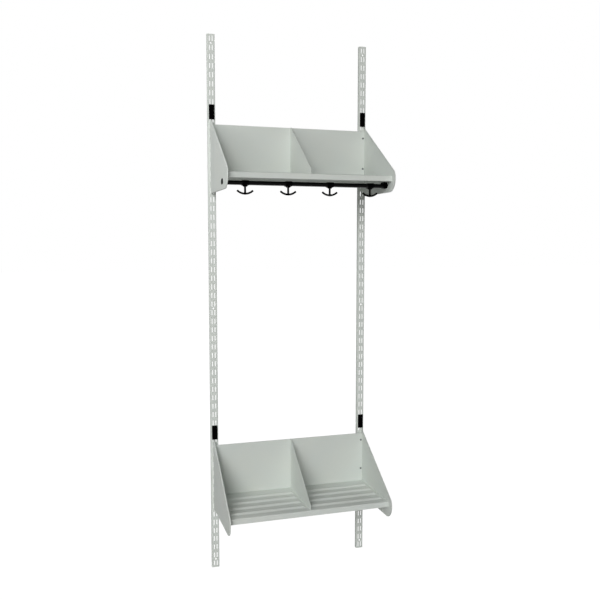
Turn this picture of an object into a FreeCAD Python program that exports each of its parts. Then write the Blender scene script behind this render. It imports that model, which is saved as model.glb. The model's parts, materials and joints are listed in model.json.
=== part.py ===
import FreeCAD, Part
import math
import os

# Wall-hung cloakroom unit: two slotted uprights carry two divided shelves, held down by lock clips.
# A hook rail with sliding, swivelling anchor hooks hangs under the upper shelf.
# Millimetres. +X is right, +Y goes back to the wall and +Z is up.
# The origin is the centre of the four corner wall-screw holes, on the uprights' front faces.

# Uprights
upright_spacing = 588.0
upright_width = 28.0
upright_depth = 14.0
upright_sheet = 1.5
upright_bend = 2.5
slot_rows = 62
slot_pitch = 32.0
slot_length = 19.0
slot_width = 3.2
slot_column_offset = 5.25
screw_hole_radius = 3.25
screw_hole_inset_rows = 1

# Side panels
panel_sheet = 1.5
panel_height = 267.0
panel_depth = 302.0
panel_top_land = 6.0
panel_front_height = 67.5
panel_nose_share = 0.48
panel_heel_share = 0.66
panel_top_radius = 3.0
panel_flange = 4.0
panel_bend = 3.0
lower_shelf_rows = 8
upper_shelf_rows = 45

# Lugs that hook a side panel into the outer slot column
lug_seat_height = 32.8
lug_top_margin = 10.0
lug_height = 10.0
lug_reach = 4.0
lug_drop = 7.5
lug_lead = 2.5
lug_root = 3.0
lug_clearance = 0.3

# Shelf trays
tray_top_height = 57.3
tray_lip = 19.5
tray_end_drop = 14.0
tray_sheet = 1.0
tray_setback = 31.8
tray_nose_radius = 5.0
tray_bend = 1.5
rib_count = 4
rib_pitch_share = 0.1975
rib_first_share = 0.176
rib_width = 26.0
rib_height = 5.0
rib_slope_width = 8.0
rib_end_gap = 9.0
rib_round = 4.0

# Back panels and the angles that they are screwed to
back_standoff = 14.0
back_sheet = 1.0
back_top_drop = 19.0
back_return = 5.0
back_bend = 1.5
back_end_clearance = 0.3
angle_width = 20.0
angle_sheet = 1.5
angle_wall_clearance = 0.5
angle_end_margin = 20.0
screw_inset = 7.0
screw_top_inset = 26.7
screw_spacing_share = 0.606

# Dividers
divider_sheet = 1.2
divider_top_land = 12.0
divider_foot = 17.0
divider_round = 8.0
tab_width = 20.0
tab_root = 3.0
tab_clearance = 0.2
tab_stand = 0.5
tab_shares = (0.25, 0.75)

# Panel screws
screw_radius = 2.0
screw_clearance = 0.2
screw_head_radius = 3.6
screw_head_height = 2.2
screw_tail = 3.0
screw_recess_width = 1.0
screw_recess_length = 4.2
screw_recess_depth = 1.1

# Hook rail and its end sockets
rail_height = 13.8
rail_depth = 30.0
rail_wall = 1.2
rail_centre_height = 24.0
rail_setback = 83.0
socket_length = 14.0
socket_wall = 2.5
socket_height = 22.0
socket_rise = 3.0
socket_floor = 2.0
socket_clearance = 0.2
socket_edge = 1.0
spigot_height = 20.0
spigot_depth = 30.0
spigot_stand = 1.0
spigot_rim = 2.0
spigot_recess = 0.8

# Hook collars
hook_count = 4
hook_spacing_share = 0.268
hook_row_offset = 7.6
collar_width = 22.0
collar_wall = 1.6
collar_clearance = 0.3
collar_edge = 0.8
boss_radius = 11.0
boss_tip_radius = 6.5
boss_drop = 3.7
head_pocket_clearance = 0.3

# Anchor hooks
stem_radius = 3.5
stem_clearance = 0.1
head_radius = 5.2
head_height = 2.2
pocket_floor = 1.8
arm_radius = 3.3
arm_half_span = 25.4
arm_rise = 9.0
tip_stand = 0.4
hook_drop = 27.1
hub_radius = 5.0
hub_stand = 0.4

# Lock clips
clip_width = 19.5
clip_thickness = 4.4
clip_panel_gap = 0.5
clip_top_margin = 12.5
clip_seat_clearance = 0.1
clip_edge = 0.8
clip_lug_clearance = 0.2
clip_lug_end_gap = 0.5
clip_lug_reach = 5.0
clip_lug_taper = 1.5
clip_groove_width = 1.6
clip_groove_depth = 0.6
clip_groove_pitch = 5.0
clip_groove_count = 9

# Amount by which a cutter overshoots the body that it cuts
overrun = 2.0

# Places that follow from the driving sizes
upright_length = slot_rows * slot_pitch
upright_x = upright_spacing / 2
screw_hole_z = upright_length / 2 - screw_hole_inset_rows * slot_pitch
panel_outer_x = upright_x + slot_column_offset + panel_sheet / 2
panel_inner_x = panel_outer_x - panel_sheet
back_front_y = -back_standoff
back_rear_y = back_front_y + back_sheet
tray_front_y = tray_setback - panel_depth
tray_depth = back_front_y - tray_front_y
rib_pitch = tray_depth * rib_pitch_share
rib_first = tray_depth * rib_first_share
rail_y = rail_setback - panel_depth
rail_radius = rail_height / 2
panel_nose_radius = panel_front_height * panel_nose_share
panel_heel_radius = panel_front_height * panel_heel_share
back_height = panel_height - back_top_drop
screw_x = panel_inner_x - screw_inset
screw_spacing = (back_height - tray_top_height) * screw_spacing_share
screw_heights = (back_height - screw_top_inset - screw_spacing, back_height - screw_top_inset)
rail_free_length = 2 * (panel_inner_x - socket_length)
hook_spacing = rail_free_length * hook_spacing_share
top_lug_row = math.floor((panel_height - lug_seat_height - lug_height - lug_top_margin) / slot_pitch)
lug_rows = (0, top_lug_row - 1, top_lug_row)


def row_z(row):
    """Height of the middle of a slot row."""
    return (row + 0.5) * slot_pitch - upright_length / 2


def panel_base_z(rows_below):
    """Height of the bottom edge of a side panel whose lowest lug has that many slot rows below it."""
    return row_z(rows_below) - slot_length / 2 - lug_seat_height


lower_z = panel_base_z(lower_shelf_rows)
upper_z = panel_base_z(upper_shelf_rows)
rail_z = upper_z + rail_centre_height
socket_z = rail_z + socket_rise


def vec(x, y, z):
    return FreeCAD.Vector(x, y, z)


def block(x_range, y_range, z_range):
    """Box between two values on each axis."""
    low = vec(x_range[0], y_range[0], z_range[0])
    return Part.makeBox(x_range[1] - x_range[0], y_range[1] - y_range[0], z_range[1] - z_range[0], low)


def mirrored(shape):
    """The same piece on the other side of the unit's middle plane."""
    return shape.mirror(vec(0, 0, 0), vec(1, 0, 0))


def rounded_wire(corners, place):
    """Closed outline through corners (u, v, radius), with tangent arcs where the radius isn't zero."""
    ends = []
    count = len(corners)
    for i, (u, v, radius) in enumerate(corners):
        corner = place(u, v)
        if radius == 0:
            ends.append((corner, None, corner))
            continue
        to_last = (place(*corners[i - 1][:2]) - corner).normalize()
        to_next = (place(*corners[(i + 1) % count][:2]) - corner).normalize()
        half = to_last.getAngle(to_next) / 2
        bisector = (to_last + to_next).normalize()
        centre = corner + bisector * (radius / math.sin(half))
        reach = radius / math.tan(half)
        ends.append((corner + to_last * reach, centre - bisector * radius, corner + to_next * reach))
    edges = []
    for i, (start, middle, end) in enumerate(ends):
        if middle:
            edges.append(Part.Arc(start, middle, end).toShape())
        edges.append(Part.LineSegment(end, ends[(i + 1) % count][0]).toShape())
    return Part.Wire(edges)


def side_prism(corners, x_range):
    """Prism along X over an outline of (y, z, radius) corners."""
    wire = rounded_wire(corners, lambda y, z: vec(x_range[0], y, z))
    return Part.Face(wire).extrude(vec(x_range[1] - x_range[0], 0, 0))


def oval_prism(y, z, depth, height, x_range):
    """Prism along X with a section of two half circles joined by flats, lying flat."""
    radius = height / 2
    half = depth / 2
    flat = half - radius
    x = x_range[0]
    low_left = vec(x, y - flat, z - radius)
    low_right = vec(x, y + flat, z - radius)
    high_right = vec(x, y + flat, z + radius)
    high_left = vec(x, y - flat, z + radius)
    edges = [
        Part.LineSegment(low_left, low_right).toShape(),
        Part.Arc(low_right, vec(x, y + half, z), high_right).toShape(),
        Part.LineSegment(high_right, high_left).toShape(),
        Part.Arc(high_left, vec(x, y - half, z), low_left).toShape(),
    ]
    return Part.Face(Part.Wire(edges)).extrude(vec(x_range[1] - x_range[0], 0, 0))


def edges_at_x(shape, x, keep=lambda edge: True):
    """Edges that lie in the plane at X = x."""
    near = overrun / 1000
    return [edge for edge in shape.Edges
            if abs(edge.BoundBox.XMin - x) < near and abs(edge.BoundBox.XMax - x) < near and keep(edge)]


def make_upright():
    """Right upright: a channel open to the wall, with two columns of slots and its wall-screw holes."""
    half = upright_width / 2
    z_range = (-upright_length / 2, upright_length / 2)

    def channel(inset, radius, end_y, z_span):
        corners = [
            (upright_x - half + inset, end_y, 0),
            (upright_x - half + inset, inset, radius),
            (upright_x + half - inset, inset, radius),
            (upright_x + half - inset, end_y, 0),
        ]
        wire = rounded_wire(corners, lambda x, y: vec(x, y, z_span[0]))
        return Part.Face(wire).extrude(vec(0, 0, z_span[1] - z_span[0]))

    outer = channel(0, upright_bend, upright_depth, z_range)
    hollow_span = (z_range[0] - overrun, z_range[1] + overrun)
    hollow = channel(upright_sheet, upright_bend - upright_sheet, upright_depth + overrun, hollow_span)
    cutters = [hollow]
    web_span = (-overrun, upright_sheet + overrun)
    for row in range(slot_rows):
        z_span = (row_z(row) - slot_length / 2, row_z(row) + slot_length / 2)
        for side in (-1, 1):
            x = upright_x + side * slot_column_offset
            cutters.append(block((x - slot_width / 2, x + slot_width / 2), web_span, z_span))
    for z in (-screw_hole_z, 0, screw_hole_z):
        start = vec(upright_x, web_span[0], z)
        cutters.append(Part.makeCylinder(screw_hole_radius, web_span[1] - web_span[0], start, vec(0, 1, 0)))
    return outer.cut(cutters)


def panel_corners(inset, rear_y, base_z):
    """Side panel outline, drawn in by inset, whose rear edge stands at rear_y."""
    slope = math.atan2(panel_height - panel_front_height, panel_depth - panel_top_land)
    front = panel_depth - inset
    top = panel_height - inset
    drop = inset / math.cos(slope)
    nose_z = panel_height - (front - panel_top_land) * math.tan(slope) - drop
    land = panel_top_land + (inset - drop) / math.tan(slope)
    return [
        (rear_y, base_z + inset, 0),
        (-front, base_z + inset, panel_heel_radius - inset),
        (-front, base_z + nose_z, panel_nose_radius - inset),
        (-land, base_z + top, panel_top_radius - inset),
        (rear_y, base_z + top, 0),
    ]


def make_lug(seat_z):
    """Hook that drops behind the upright's web and rests on the bottom edge of its slot."""
    neck_end = upright_sheet + lug_clearance
    tip = neck_end + lug_reach
    corners = [
        (-lug_root, seat_z, 0),
        (neck_end, seat_z, 0),
        (neck_end, seat_z - lug_drop, 0),
        (tip - lug_lead, seat_z - lug_drop, 0),
        (tip, seat_z - lug_drop + lug_lead, 0),
        (tip, seat_z + lug_height - lug_lead, 0),
        (tip - lug_lead, seat_z + lug_height, 0),
        (-lug_root, seat_z + lug_height, 0),
    ]
    return side_prism(corners, (panel_inner_x, panel_outer_x))


def make_side_panel(base_z, with_rail_hole):
    """Right side panel: a sheet with a narrow inward flange round its free edges, and three lugs."""
    flange_x = panel_outer_x - panel_flange

    def reaches_forward(edge):
        return edge.BoundBox.YMin < -overrun / 2

    outer = side_prism(panel_corners(0, 0, base_z), (flange_x, panel_outer_x))
    outer = outer.makeFillet(panel_bend, edges_at_x(outer, panel_outer_x, reaches_forward))
    hollow = side_prism(panel_corners(panel_sheet, overrun, base_z), (flange_x - overrun, panel_inner_x))
    hollow = hollow.makeFillet(panel_bend - panel_sheet, edges_at_x(hollow, panel_inner_x, reaches_forward))
    panel = outer.cut(hollow)
    if with_rail_hole:
        hole_span = (panel_inner_x - overrun, panel_outer_x + overrun)
        hole_z = base_z + rail_centre_height + socket_rise
        hole_depth = spigot_depth + 2 * socket_clearance
        hole_height = spigot_height + 2 * socket_clearance
        panel = panel.cut(oval_prism(rail_y, hole_z, hole_depth, hole_height, hole_span))
    lugs = [make_lug(base_z + lug_seat_height + row * slot_pitch) for row in lug_rows]
    return panel.fuse(lugs).removeSplitter()


def make_angle(base_z):
    """Right angle strip: one leg on the side panel, the other behind the end of the back panel."""
    z_range = widened((base_z + screw_heights[0], base_z + screw_heights[-1]), angle_end_margin)
    side_leg_y = (back_rear_y, -angle_wall_clearance)
    back_leg_y = (back_rear_y, back_rear_y + angle_sheet)
    side_leg = block((panel_inner_x - angle_sheet, panel_inner_x), side_leg_y, z_range)
    back_leg = block((panel_inner_x - angle_width, panel_inner_x), back_leg_y, z_range)
    angle = side_leg.fuse(back_leg)
    holes = []
    for height in screw_heights:
        start = vec(screw_x, back_rear_y - overrun, base_z + height)
        holes.append(Part.makeCylinder(screw_radius + screw_clearance / 2, angle_sheet + 2 * overrun, start,
                                       vec(0, 1, 0)))
    return angle.cut(holes).removeSplitter()


def tab_spans(low, high):
    """Ranges that a divider's tabs take along one of its edges."""
    spans = []
    for share in tab_shares:
        middle = low + (high - low) * share
        spans.append((middle - tab_width / 2, middle + tab_width / 2))
    return spans


def divider_rear_tabs(base_z):
    return tab_spans(base_z + tray_top_height, base_z + back_height)


def divider_floor_tabs():
    return tab_spans(tray_front_y + tray_nose_radius, back_front_y)


def widened(span, amount):
    return (span[0] - amount, span[1] + amount)


def make_back_panel(base_z):
    """Back panel with a narrow return along its top edge."""
    low = base_z + tray_top_height - tray_lip
    top = base_z + back_height
    half = panel_inner_x - back_end_clearance
    corners = [
        (back_front_y, low, 0),
        (back_front_y, top, back_bend),
        (back_front_y + back_return, top, 0),
        (back_front_y + back_return, top - back_sheet, 0),
        (back_rear_y, top - back_sheet, back_bend - back_sheet),
        (back_rear_y, low, 0),
    ]
    panel = side_prism(corners, (-half, half))
    cutters = []
    for side in (-1, 1):
        for height in screw_heights:
            start = vec(side * screw_x, back_front_y - overrun, base_z + height)
            cutters.append(Part.makeCylinder(screw_radius + screw_clearance, back_sheet + 2 * overrun, start,
                                             vec(0, 1, 0)))
    slot_half = divider_sheet / 2 + tab_clearance
    for span in divider_rear_tabs(base_z):
        cutters.append(block((-slot_half, slot_half), (back_front_y - overrun, back_rear_y + overrun),
                             widened(span, tab_clearance)))
    return panel.cut(cutters)


def make_rib(x_range, y_middle, z, inset):
    """Raised rib with sloping flanks and ends, drawn in by inset."""
    half = rib_width / 2 - inset
    low = [x_range[0] + inset, x_range[1] - inset, y_middle - half, y_middle + half]
    slope = rib_slope_width
    high = [low[0] + slope, low[1] - slope, low[2] + slope, low[3] - slope]

    def rectangle(sides, level):
        points = [vec(sides[0], sides[2], level), vec(sides[1], sides[2], level),
                  vec(sides[1], sides[3], level), vec(sides[0], sides[3], level)]
        return Part.makePolygon(points + points[:1])

    rib = Part.makeLoft([rectangle(low, z), rectangle(high, z + rib_height)], True, True)
    near = overrun / 1000
    upper = [edge for edge in rib.Edges if edge.BoundBox.ZMax > z + near]
    return rib.makeFillet(rib_round, upper)


def rib_places():
    """X range and middle Y of every rib of a tray."""
    places = []
    inner = divider_sheet / 2 + rib_end_gap
    outer = panel_inner_x - rib_end_gap
    for side in (-1, 1):
        x_range = (inner, outer) if side > 0 else (-outer, -inner)
        for i in range(rib_count):
            places.append((x_range, tray_front_y + rib_first + i * rib_pitch))
    return places


def make_tray(base_z):
    """Shelf tray: a floor with pressed ribs and turned-down edges, rounded at the front."""
    top = base_z + tray_top_height

    def section(inset, low):
        return [
            (tray_front_y + inset, low, 0),
            (tray_front_y + inset, top - inset, tray_nose_radius - inset),
            (back_front_y - inset, top - inset, tray_bend - inset),
            (back_front_y - inset, low, 0),
        ]

    tray = side_prism(section(0, top - tray_lip), (-panel_inner_x, panel_inner_x))
    hollow_half = panel_inner_x - tray_sheet
    tray = tray.cut(side_prism(section(tray_sheet, top - tray_lip - overrun), (-hollow_half, hollow_half)))
    flank = math.hypot(rib_height, rib_slope_width)
    inset = tray_sheet * (flank - rib_slope_width) / rib_height
    tray = tray.fuse([make_rib(x_range, y, top, 0) for x_range, y in rib_places()])
    tray = tray.cut([make_rib(x_range, y, top - tray_sheet, inset) for x_range, y in rib_places()])
    end_depth = (tray_front_y + tray_sheet, back_front_y - tray_sheet)
    end_reach = (top - tray_lip - overrun, top - tray_end_drop)
    ends = [block(x_range, end_depth, end_reach)
            for x_range in ((-panel_inner_x - overrun, -hollow_half), (hollow_half, panel_inner_x + overrun))]
    slot_half = divider_sheet / 2 + tab_clearance
    slot_depth = (top - tray_sheet - overrun, top + overrun)
    slots = [block((-slot_half, slot_half), widened(span, tab_clearance), slot_depth)
             for span in divider_floor_tabs()]
    return tray.cut(slots + ends).removeSplitter()


def make_divider(base_z):
    """Middle divider, with tabs into the back panel and the tray."""
    floor_z = base_z + tray_top_height
    top = base_z + back_height
    foot_y = tray_front_y + tray_nose_radius
    x_range = (-divider_sheet / 2, divider_sheet / 2)
    corners = [
        (back_front_y, floor_z, 0),
        (foot_y, floor_z, 0),
        (foot_y, floor_z + divider_foot, divider_round),
        (back_front_y - divider_top_land, top, 0),
        (back_front_y, top, 0),
    ]
    tabs = [block(x_range, (back_front_y - tab_root, back_rear_y + tab_stand), span)
            for span in divider_rear_tabs(base_z)]
    tabs += [block(x_range, span, (floor_z - tray_sheet - tab_stand, floor_z + tab_root))
             for span in divider_floor_tabs()]
    return side_prism(corners, x_range).fuse(tabs).removeSplitter()


def make_panel_screws(base_z):
    """Four screws that hold a back panel to its two angles."""
    screws = []
    for side in (-1, 1):
        for height in screw_heights:
            x = side * screw_x
            z = base_z + height
            length = back_sheet + angle_sheet + screw_tail
            seat = vec(x, back_front_y, z)
            shank = Part.makeCylinder(screw_radius, length, seat, vec(0, 1, 0))
            head = Part.makeCylinder(screw_head_radius, screw_head_height, seat, vec(0, -1, 0))
            face_y = back_front_y - screw_head_height
            rim = [edge for edge in head.Edges if edge.BoundBox.YMax < face_y + screw_head_height / 2]
            head = head.makeFillet(screw_head_height / 2, rim)
            recess_y = (face_y - overrun, face_y + screw_recess_depth)
            wide = screw_recess_length / 2
            narrow = screw_recess_width / 2
            recess = [block((x - wide, x + wide), recess_y, (z - narrow, z + narrow)),
                      block((x - narrow, x + narrow), recess_y, (z - wide, z + wide))]
            screws.append(head.fuse(shank).cut(recess).removeSplitter())
    return Part.makeCompound(screws)


def make_rail():
    """Oval tube that carries the hook collars."""
    half = panel_inner_x - socket_floor - socket_clearance
    outer = oval_prism(rail_y, rail_z, rail_depth, rail_height, (-half, half))
    bore_span = (-half - overrun, half + overrun)
    bore = oval_prism(rail_y, rail_z, rail_depth - 2 * rail_wall, rail_height - 2 * rail_wall, bore_span)
    return outer.cut(bore)


def make_rail_socket():
    """Right end socket: a cup round the rail's end, with a spigot through the side panel."""
    start_x = panel_inner_x - socket_length
    end_x = panel_outer_x + spigot_stand
    cup = oval_prism(rail_y, socket_z, rail_depth + 2 * socket_wall, socket_height, (start_x, panel_inner_x))
    cup = cup.makeFillet(socket_edge, edges_at_x(cup, start_x))
    spigot = oval_prism(rail_y, socket_z, spigot_depth, spigot_height, (panel_inner_x - socket_floor, end_x))
    spigot = spigot.makeFillet(spigot_stand / 2, edges_at_x(spigot, end_x))
    pocket = oval_prism(rail_y, rail_z, rail_depth + 2 * socket_clearance, rail_height + 2 * socket_clearance,
                        (start_x - overrun, panel_inner_x - socket_floor))
    recess = oval_prism(rail_y, socket_z, spigot_depth - 2 * spigot_rim, spigot_height - 2 * spigot_rim,
                        (end_x - spigot_recess, end_x + overrun))
    return cup.fuse(spigot).cut([pocket, recess]).removeSplitter()


def hook_x(index):
    """Place of a hook along the rail."""
    return hook_row_offset + (index - (hook_count - 1) / 2) * hook_spacing


def boss_bottom_z():
    """Height of the flat tip under a collar."""
    return rail_z - rail_radius - collar_clearance - collar_wall - boss_drop


def make_collar(x):
    """Collar that slides on the rail, with a pocket below for the hook's head."""
    x_range = (x - collar_width / 2, x + collar_width / 2)
    bore_depth = rail_depth + 2 * collar_clearance
    bore_height = rail_height + 2 * collar_clearance
    ring = oval_prism(rail_y, rail_z, bore_depth + 2 * collar_wall, bore_height + 2 * collar_wall, x_range)
    bore_bottom = rail_z - bore_height / 2
    boss = Part.makeCone(boss_tip_radius, boss_radius, bore_bottom - boss_bottom_z(),
                         vec(x, rail_y, boss_bottom_z()))
    ring = ring.makeFillet(collar_edge, edges_at_x(ring, x_range[0]) + edges_at_x(ring, x_range[1]))
    bore = oval_prism(rail_y, rail_z, bore_depth, bore_height, widened(x_range, overrun))
    pocket_bottom = boss_bottom_z() + pocket_floor
    pocket = Part.makeCylinder(head_radius + head_pocket_clearance, rail_z - pocket_bottom,
                               vec(x, rail_y, pocket_bottom))
    stem_hole = Part.makeCylinder(stem_radius + stem_clearance, pocket_floor + 2 * overrun,
                                  vec(x, rail_y, boss_bottom_z() - overrun))
    return ring.fuse(boss).cut([bore, pocket, stem_hole]).removeSplitter()


def make_hook(x):
    """Anchor hook: a headed stem with two upswept arms along the rail."""
    head_bottom = boss_bottom_z() + pocket_floor + stem_clearance
    low_z = boss_bottom_z() - hook_drop + arm_radius
    head = Part.makeCylinder(head_radius, head_height, vec(x, rail_y, head_bottom))
    stem = Part.makeCylinder(stem_radius, head_bottom - low_z, vec(x, rail_y, low_z))
    bow_radius = (arm_half_span ** 2 + arm_rise ** 2) / (2 * arm_rise)
    bow_centre = vec(x, rail_y, low_z + bow_radius)
    bow_half_angle = math.asin(arm_half_span / bow_radius)
    tips = [vec(x + side * arm_half_span, rail_y, low_z + arm_rise) for side in (-1, 1)]
    tangent = vec(math.cos(bow_half_angle), 0, -math.sin(bow_half_angle))
    section = Part.Face(Part.Wire([Part.Circle(tips[0], tangent, arm_radius).toShape()]))
    arms = section.revolve(bow_centre, vec(0, -1, 0), math.degrees(2 * bow_half_angle))
    ends = [Part.makeSphere(arm_radius + tip_stand, tip) for tip in tips]
    hub = Part.makeSphere(hub_radius, vec(x, rail_y, low_z - arm_radius - hub_stand + hub_radius))
    return head.fuse([stem, arms, hub] + ends).removeSplitter()


def first_row_above(z):
    """The lowest slot row that lies wholly above a height."""
    return math.ceil((z + upright_length / 2 + slot_length / 2) / slot_pitch - 0.5)


def make_clip(base_z):
    """Right lock clip: a block over the side panel's top edge, with two lugs into the slots."""
    low = base_z + panel_height + clip_panel_gap
    slot_z = row_z(first_row_above(low))
    high = slot_z + slot_length / 2 + clip_top_margin
    x_range = (upright_x - clip_width / 2, upright_x + clip_width / 2)
    face_y = -clip_seat_clearance - clip_thickness
    body = block(x_range, (face_y, -clip_seat_clearance), (low, high))
    front = [edge for edge in body.Edges if edge.BoundBox.YMin < face_y + clip_edge]
    body = body.makeFillet(clip_edge, front)
    middle = (low + high) / 2
    grooves = []
    for i in range(clip_groove_count):
        z = middle + (i - (clip_groove_count - 1) / 2) * clip_groove_pitch
        grooves.append(block(widened(x_range, overrun), (face_y - overrun, face_y + clip_groove_depth),
                             (z - clip_groove_width / 2, z + clip_groove_width / 2)))
    lugs = []
    half_width = slot_width / 2 - clip_lug_clearance
    half_height = slot_length / 2 - clip_lug_end_gap
    tip_y = upright_sheet + clip_lug_reach
    for side in (-1, 1):
        x = upright_x + side * slot_column_offset
        corners = [
            (-clip_seat_clearance - clip_thickness / 2, slot_z - half_height, 0),
            (tip_y - clip_lug_taper, slot_z - half_height, 0),
            (tip_y, slot_z - half_height + clip_lug_taper, 0),
            (tip_y, slot_z + half_height - clip_lug_taper, 0),
            (tip_y - clip_lug_taper, slot_z + half_height, 0),
            (-clip_seat_clearance - clip_thickness / 2, slot_z + half_height, 0),
        ]
        lugs.append(side_prism(corners, (x - half_width, x + half_width)))
    return body.cut(grooves).fuse(lugs).removeSplitter()


def make_pieces():
    """Every piece of the unit, by name."""
    pieces = {}

    def add_pair(name, shape):
        pieces[name.replace("SIDE", "right")] = shape
        pieces[name.replace("SIDE", "left")] = mirrored(shape)

    add_pair("upright_SIDE", make_upright())
    for level, base_z in (("lower", lower_z), ("upper", upper_z)):
        add_pair(level + "_SIDE_panel", make_side_panel(base_z, level == "upper"))
        add_pair(level + "_SIDE_angle", make_angle(base_z))
        add_pair(level + "_SIDE_lock_clip", make_clip(base_z))
        pieces[level + "_back_panel"] = make_back_panel(base_z)
        pieces[level + "_tray"] = make_tray(base_z)
        pieces[level + "_divider"] = make_divider(base_z)
        pieces[level + "_panel_screws"] = make_panel_screws(base_z)
    pieces["hook_rail"] = make_rail()
    add_pair("rail_socket_SIDE", make_rail_socket())
    for index in range(hook_count):
        pieces["hook_collar_%d" % (index + 1)] = make_collar(hook_x(index))
        pieces["anchor_hook_%d" % (index + 1)] = make_hook(hook_x(index))
    return pieces


os.makedirs("parts", exist_ok=True)
for name, shape in make_pieces().items():
    shape.exportStep("parts/" + name + ".step")
    print(name, "solids", len(shape.Solids), "valid", shape.isValid(), "volume", round(shape.Volume, 1))
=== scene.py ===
import json
import math

import bpy
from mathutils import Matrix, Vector


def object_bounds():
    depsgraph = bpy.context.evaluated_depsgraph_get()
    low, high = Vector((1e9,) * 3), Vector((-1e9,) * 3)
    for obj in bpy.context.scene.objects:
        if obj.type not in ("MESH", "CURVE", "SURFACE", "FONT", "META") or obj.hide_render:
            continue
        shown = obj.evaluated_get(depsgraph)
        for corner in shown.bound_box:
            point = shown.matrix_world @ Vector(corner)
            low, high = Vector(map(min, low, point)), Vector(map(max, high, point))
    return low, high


# Changing room wall unit: finishes, floor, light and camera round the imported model.
# Metres, in the model's own frame: +X right, +Y back to the wall, +Z up.

MM = 0.001

# Noise: scales count cells to a metre, detail counts octaves
SOFT_DETAIL = 2.0
FINE_DETAIL = 3.0

# The part of a noise value's reach that is stretched over a range
NOISE_LOW = 0.3
NOISE_HIGH = 0.7

# A Mix node's sockets for colours, by number because their names are those of other sockets too
MIX_SHARE = 0
MIX_FIRST_COLOUR = 6
MIX_SECOND_COLOUR = 7
MIX_RESULT_COLOUR = 2

# Powder coat on the steelwork; colours are linear, roughness is from and to
PAINT_COLOUR = (0.660, 0.700, 0.665)
PAINT_COLOUR_WARM = (0.674, 0.706, 0.662)
PAINT_DRIFT_SCALE = 9.0
PAINT_ROUGHNESS = (0.46, 0.58)
PAINT_ROUGHNESS_SCALE = 320.0
PAINT_PEEL_SCALE = 480.0
PAINT_PEEL_STRENGTH = 0.35
PAINT_PEEL_DEPTH = 0.10 * MM
PAINT_GRAIN_SCALE = 2600.0
PAINT_GRAIN_STRENGTH = 0.20
PAINT_GRAIN_DEPTH = 0.03 * MM
PAINT_SPECULAR = 0.08

# Moulded plastic of clips, collars, sockets and hooks
PLASTIC_COLOUR = (0.0005, 0.0005, 0.0006)
PLASTIC_COLOUR_WORN = (0.0011, 0.0011, 0.0012)
PLASTIC_PATCH_SCALE = 60.0
PLASTIC_ROUGHNESS = (0.40, 0.56)
PLASTIC_ROUGHNESS_SCALE = 700.0
PLASTIC_GRAIN_SCALE = 2200.0
PLASTIC_GRAIN_STRENGTH = 0.45
PLASTIC_GRAIN_DEPTH = 0.05 * MM
PLASTIC_SPECULAR = 0.01

# Lacquer on the hook rail; its streaks are drawn out along X
RAIL_COLOUR = (0.0018, 0.0018, 0.0019)
RAIL_COLOUR_WORN = (0.0038, 0.0038, 0.0039)
RAIL_STREAK_SCALE = 900.0
RAIL_STREAK_STRETCH = (0.04, 1.0, 1.0)
RAIL_ROUGHNESS = (0.26, 0.40)
RAIL_STREAK_STRENGTH = 0.15
RAIL_STREAK_DEPTH = 0.03 * MM
RAIL_SPECULAR = 0.05

# Zinc plating of the screws
ZINC_COLOUR = (0.20, 0.21, 0.21)
ZINC_COLOUR_DULL = (0.10, 0.11, 0.12)
ZINC_MOTTLE_SCALE = 900.0
ZINC_ROUGHNESS = (0.30, 0.48)
ZINC_ROUGHNESS_SCALE = 1600.0
ZINC_GRAIN_SCALE = 3000.0
ZINC_GRAIN_STRENGTH = 0.2
ZINC_GRAIN_DEPTH = 0.02 * MM

# Camera: angles in degrees, sensor and lens in millimetres
CAMERA_PLACE = (-0.7706, -2.6265, 0.2476)
CAMERA_YAW = 17.192
CAMERA_PITCH = -4.667
CAMERA_SENSOR = 36.0
CAMERA_LENS = 43.067

# A camera that isn't turned looks straight down, and this tilt brings it level
LEVEL_TILT = 90.0

# Floor
FLOOR_GAP = 90 * MM
FLOOR_SIZE = 60.0
FLOOR_COLOUR = (0.62, 0.62, 0.62)
FLOOR_COLOUR_WARM = (0.64, 0.635, 0.63)
FLOOR_TONE_SCALE = 3.0
FLOOR_ROUGHNESS = 0.9
FLOOR_GLOW = 1.17
FLOOR_GLOW_SHARE = 0.86

# World: plain white for the rays that show a background, a weak even light for all others
WHITE = (1.0, 1.0, 1.0, 1.0)
WHITE_STRENGTH = 1.0
AMBIENT = 0.04
BACKGROUND_RAYS = ("Is Camera Ray", "Is Glossy Ray", "Is Transmission Ray")

# Places that lamps are aimed at, sizes of their panels, and spreads in degrees
UNIT_MIDDLE = (0.0, -0.1, 0.0)
LOWER_SHELF_RIGHT = (0.3, -0.1, -0.80)
LARGE_PANEL = 4.2
MEDIUM_PANEL = 1.6
SMALL_PANEL = 0.6
OPEN_SPREAD = 180
GRID_SPREAD = 28

# Lamps: name, place, place aimed at, size of the panel, spread and power in watts
LAMPS = (
    ("key_lamp", (-4.23, -7.42, 3.08), UNIT_MIDDLE, LARGE_PANEL, OPEN_SPREAD, 332.0),
    ("front_lamp", (-2.61, -8.14, 3.08), UNIT_MIDDLE, LARGE_PANEL, OPEN_SPREAD, 146.0),
    ("side_lamp", (-1.50, -0.50, 0.90), UNIT_MIDDLE, SMALL_PANEL, OPEN_SPREAD, 6.0),
    ("low_lamp", (-1.70, -4.60, 0.75), LOWER_SHELF_RIGHT, MEDIUM_PANEL, GRID_SPREAD, 0.92),
    ("back_lamp", (4.60, 6.20, 3.00), UNIT_MIDDLE, LARGE_PANEL, OPEN_SPREAD, 240.0),
)


def new_material(name):
    """A new material, its node tree and its Principled shader."""
    material = bpy.data.materials.new(name)
    material.use_nodes = True
    tree = material.node_tree
    return material, tree, tree.nodes["Principled BSDF"]


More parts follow.
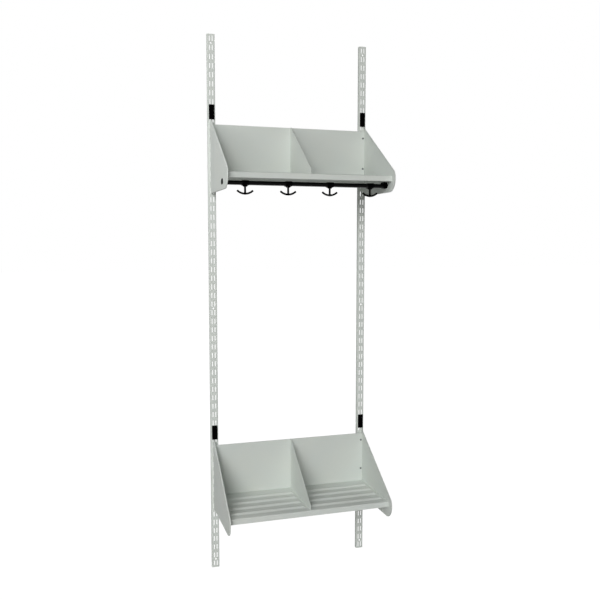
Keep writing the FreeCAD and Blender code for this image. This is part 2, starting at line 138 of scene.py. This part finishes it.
def noise(tree, scale, detail, stretch=None):
    """Noise over the object's own coordinates, which stretch scales along each axis if it is given."""
    place = tree.nodes.new("ShaderNodeTexCoord").outputs["Object"]
    if stretch:
        mapping = tree.nodes.new("ShaderNodeMapping")
        mapping.inputs["Scale"].default_value = stretch
        tree.links.new(place, mapping.inputs["Vector"])
        place = mapping.outputs["Vector"]
    texture = tree.nodes.new("ShaderNodeTexNoise")
    texture.inputs["Scale"].default_value = scale
    texture.inputs["Detail"].default_value = detail
    tree.links.new(place, texture.inputs["Vector"])
    return texture.outputs["Fac"]


def ranged(tree, value, low, high):
    """A noise value stretched over the range from low to high."""
    node = tree.nodes.new("ShaderNodeMapRange")
    node.inputs["From Min"].default_value = NOISE_LOW
    node.inputs["From Max"].default_value = NOISE_HIGH
    node.inputs["To Min"].default_value = low
    node.inputs["To Max"].default_value = high
    tree.links.new(value, node.inputs["Value"])
    return node.outputs["Result"]


def vary_colour(tree, shader, value, first, second):
    """The base colour runs between two colours with a noise value."""
    mix = tree.nodes.new("ShaderNodeMix")
    mix.data_type = "RGBA"
    mix.inputs[MIX_FIRST_COLOUR].default_value = (*first, 1.0)
    mix.inputs[MIX_SECOND_COLOUR].default_value = (*second, 1.0)
    tree.links.new(ranged(tree, value, 0.0, 1.0), mix.inputs[MIX_SHARE])
    tree.links.new(mix.outputs[MIX_RESULT_COLOUR], shader.inputs["Base Color"])


def vary_roughness(tree, shader, value, limits):
    """The roughness runs between two limits with a noise value."""
    tree.links.new(ranged(tree, value, *limits), shader.inputs["Roughness"])


def bumped(tree, height, strength, depth, under=None):
    """Normals of a relief, its depth in metres, on top of another relief's normals if there are any."""
    node = tree.nodes.new("ShaderNodeBump")
    node.inputs["Strength"].default_value = strength
    node.inputs["Distance"].default_value = depth
    tree.links.new(height, node.inputs["Height"])
    if under:
        tree.links.new(under, node.inputs["Normal"])
    return node.outputs["Normal"]


def powder_coat(name):
    """Light grey powder coat: faint tone drift, orange peel about 2 mm across and a fine satin grain."""
    material, tree, shader = new_material(name)
    drift = noise(tree, PAINT_DRIFT_SCALE, SOFT_DETAIL)
    vary_colour(tree, shader, drift, PAINT_COLOUR, PAINT_COLOUR_WARM)
    vary_roughness(tree, shader, noise(tree, PAINT_ROUGHNESS_SCALE, FINE_DETAIL), PAINT_ROUGHNESS)
    peel = noise(tree, PAINT_PEEL_SCALE, SOFT_DETAIL)
    peel_normal = bumped(tree, peel, PAINT_PEEL_STRENGTH, PAINT_PEEL_DEPTH)
    grain = noise(tree, PAINT_GRAIN_SCALE, SOFT_DETAIL)
    normal = bumped(tree, grain, PAINT_GRAIN_STRENGTH, PAINT_GRAIN_DEPTH, peel_normal)
    tree.links.new(normal, shader.inputs["Normal"])
    shader.inputs["Specular IOR Level"].default_value = PAINT_SPECULAR
    return material


def moulded_plastic(name):
    """Black moulded plastic with a fine spark-eroded grain."""
    material, tree, shader = new_material(name)
    patches = noise(tree, PLASTIC_PATCH_SCALE, FINE_DETAIL)
    vary_colour(tree, shader, patches, PLASTIC_COLOUR, PLASTIC_COLOUR_WORN)
    vary_roughness(tree, shader, noise(tree, PLASTIC_ROUGHNESS_SCALE, SOFT_DETAIL), PLASTIC_ROUGHNESS)
    grain = noise(tree, PLASTIC_GRAIN_SCALE, FINE_DETAIL)
    normal = bumped(tree, grain, PLASTIC_GRAIN_STRENGTH, PLASTIC_GRAIN_DEPTH)
    tree.links.new(normal, shader.inputs["Normal"])
    shader.inputs["Specular IOR Level"].default_value = PLASTIC_SPECULAR
    return material


def rail_lacquer(name):
    """Smooth black lacquer on the drawn tube, with faint rubbing along its length."""
    material, tree, shader = new_material(name)
    streaks = noise(tree, RAIL_STREAK_SCALE, FINE_DETAIL, RAIL_STREAK_STRETCH)
    vary_colour(tree, shader, streaks, RAIL_COLOUR, RAIL_COLOUR_WORN)
    vary_roughness(tree, shader, streaks, RAIL_ROUGHNESS)
    normal = bumped(tree, streaks, RAIL_STREAK_STRENGTH, RAIL_STREAK_DEPTH)
    tree.links.new(normal, shader.inputs["Normal"])
    shader.inputs["Specular IOR Level"].default_value = RAIL_SPECULAR
    return material


def bright_zinc(name):
    """Zinc-plated screws, slightly mottled."""
    material, tree, shader = new_material(name)
    mottle = noise(tree, ZINC_MOTTLE_SCALE, FINE_DETAIL)
    vary_colour(tree, shader, mottle, ZINC_COLOUR, ZINC_COLOUR_DULL)
    vary_roughness(tree, shader, noise(tree, ZINC_ROUGHNESS_SCALE, SOFT_DETAIL), ZINC_ROUGHNESS)
    grain = noise(tree, ZINC_GRAIN_SCALE, SOFT_DETAIL)
    normal = bumped(tree, grain, ZINC_GRAIN_STRENGTH, ZINC_GRAIN_DEPTH)
    tree.links.new(normal, shader.inputs["Normal"])
    shader.inputs["Metallic"].default_value = 1.0
    return material


def dress_nodes(frame):
    """Each carried-over node takes the finish of its slot."""
    finishes = {
        "grey_paint": powder_coat("powder_coat"),
        "black_plastic": moulded_plastic("moulded_plastic"),
        "black_rail": rail_lacquer("rail_lacquer"),
        "zinc_screw": bright_zinc("bright_zinc"),
    }
    for part in frame["record"]["subparts"]:
        mesh = frame["nodes"][part["node"]].data
        mesh.materials.clear()
        mesh.materials.append(finishes[part["material_slot"]])


def background_rays(tree):
    """1 for rays that show a background, 0 for others."""
    path = tree.nodes.new("ShaderNodeLightPath")
    total = path.outputs[BACKGROUND_RAYS[0]]
    for kind in BACKGROUND_RAYS[1:]:
        either = tree.nodes.new("ShaderNodeMath")
        either.operation = "MAXIMUM"
        first, second = either.inputs[:2]
        tree.links.new(total, first)
        tree.links.new(path.outputs[kind], second)
        total = either.outputs["Value"]
    return total


def floor_paint(name):
    """Pale matt floor that glows near white where it shows as a background, and keeps a soft shadow."""
    material, tree, shader = new_material(name)
    tone = noise(tree, FLOOR_TONE_SCALE, SOFT_DETAIL)
    vary_colour(tree, shader, tone, FLOOR_COLOUR, FLOOR_COLOUR_WARM)
    shader.inputs["Roughness"].default_value = FLOOR_ROUGHNESS
    glow = tree.nodes.new("ShaderNodeEmission")
    glow.inputs["Strength"].default_value = FLOOR_GLOW
    share = tree.nodes.new("ShaderNodeMath")
    share.operation = "MULTIPLY"
    rays, most = share.inputs[:2]
    most.default_value = FLOOR_GLOW_SHARE
    tree.links.new(background_rays(tree), rays)
    blend = tree.nodes.new("ShaderNodeMixShader")
    factor, lit, glowing = blend.inputs
    tree.links.new(share.outputs["Value"], factor)
    tree.links.new(shader.outputs["BSDF"], lit)
    tree.links.new(glow.outputs["Emission"], glowing)
    tree.links.new(blend.outputs["Shader"], tree.nodes["Material Output"].inputs["Surface"])
    return material


def make_floor(lowest):
    """Square floor, a little below the uprights' feet, since the unit hangs on a wall."""
    half = FLOOR_SIZE / 2
    height = lowest - FLOOR_GAP
    outline = [(-half, -half), (half, -half), (half, half), (-half, half)]
    mesh = bpy.data.meshes.new("floor")
    mesh.from_pydata([(x, y, height) for x, y in outline], [], [(0, 1, 2, 3)])
    mesh.materials.append(floor_paint("floor_paint"))
    floor = bpy.data.objects.new("floor", mesh)
    bpy.context.scene.collection.objects.link(floor)


def make_world():
    """White where it shows as a background, and a weak even light otherwise."""
    world = bpy.data.worlds.new("studio")
    world.use_nodes = True
    tree = world.node_tree
    background = tree.nodes["Background"]
    background.inputs["Color"].default_value = WHITE
    strength = tree.nodes.new("ShaderNodeMapRange")
    strength.inputs["To Min"].default_value = AMBIENT
    strength.inputs["To Max"].default_value = WHITE_STRENGTH
    tree.links.new(background_rays(tree), strength.inputs["Value"])
    tree.links.new(strength.outputs["Result"], background.inputs["Strength"])
    bpy.context.scene.world = world


def make_lamp(name, place, target, size, spread_angle, power):
    """Square area lamp, turned to a place; a narrow spread stands for a grid in front of it."""
    light = bpy.data.lights.new(name, "AREA")
    light.shape = "SQUARE"
    light.size = size
    light.spread = math.radians(spread_angle)
    light.energy = power
    lamp = bpy.data.objects.new(name, light)
    lamp.location = place
    direction = Vector(target) - Vector(place)
    lamp.rotation_euler = direction.to_track_quat("-Z", "Y").to_euler()
    bpy.context.scene.collection.objects.link(lamp)


def make_camera():
    """Camera in front of the unit and to its left, looking slightly down."""
    data = bpy.data.cameras.new("camera")
    data.sensor_width = CAMERA_SENSOR
    data.lens = CAMERA_LENS
    camera = bpy.data.objects.new("camera", data)
    camera.location = CAMERA_PLACE
    camera.rotation_euler = (math.radians(LEVEL_TILT + CAMERA_PITCH), 0.0, math.radians(-CAMERA_YAW))
    bpy.context.scene.collection.objects.link(camera)
    bpy.context.scene.camera = camera


def as_lists(bounds):
    """A box's two corners as plain lists of numbers."""
    return [list(corner) for corner in bounds]


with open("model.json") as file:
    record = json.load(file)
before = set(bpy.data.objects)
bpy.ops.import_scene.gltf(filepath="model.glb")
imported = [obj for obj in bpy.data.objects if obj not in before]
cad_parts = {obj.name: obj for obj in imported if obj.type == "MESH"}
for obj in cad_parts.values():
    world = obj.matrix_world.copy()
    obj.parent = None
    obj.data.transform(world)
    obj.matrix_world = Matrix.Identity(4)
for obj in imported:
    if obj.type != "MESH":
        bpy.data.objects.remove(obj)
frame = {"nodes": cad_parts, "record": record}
cad_bounds = as_lists(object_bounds())
dress_nodes(frame)
make_floor(cad_bounds[0][2])
make_world()
for lamp in LAMPS:
    make_lamp(*lamp)
make_camera()
bpy.context.scene.view_settings.view_transform = "Standard"
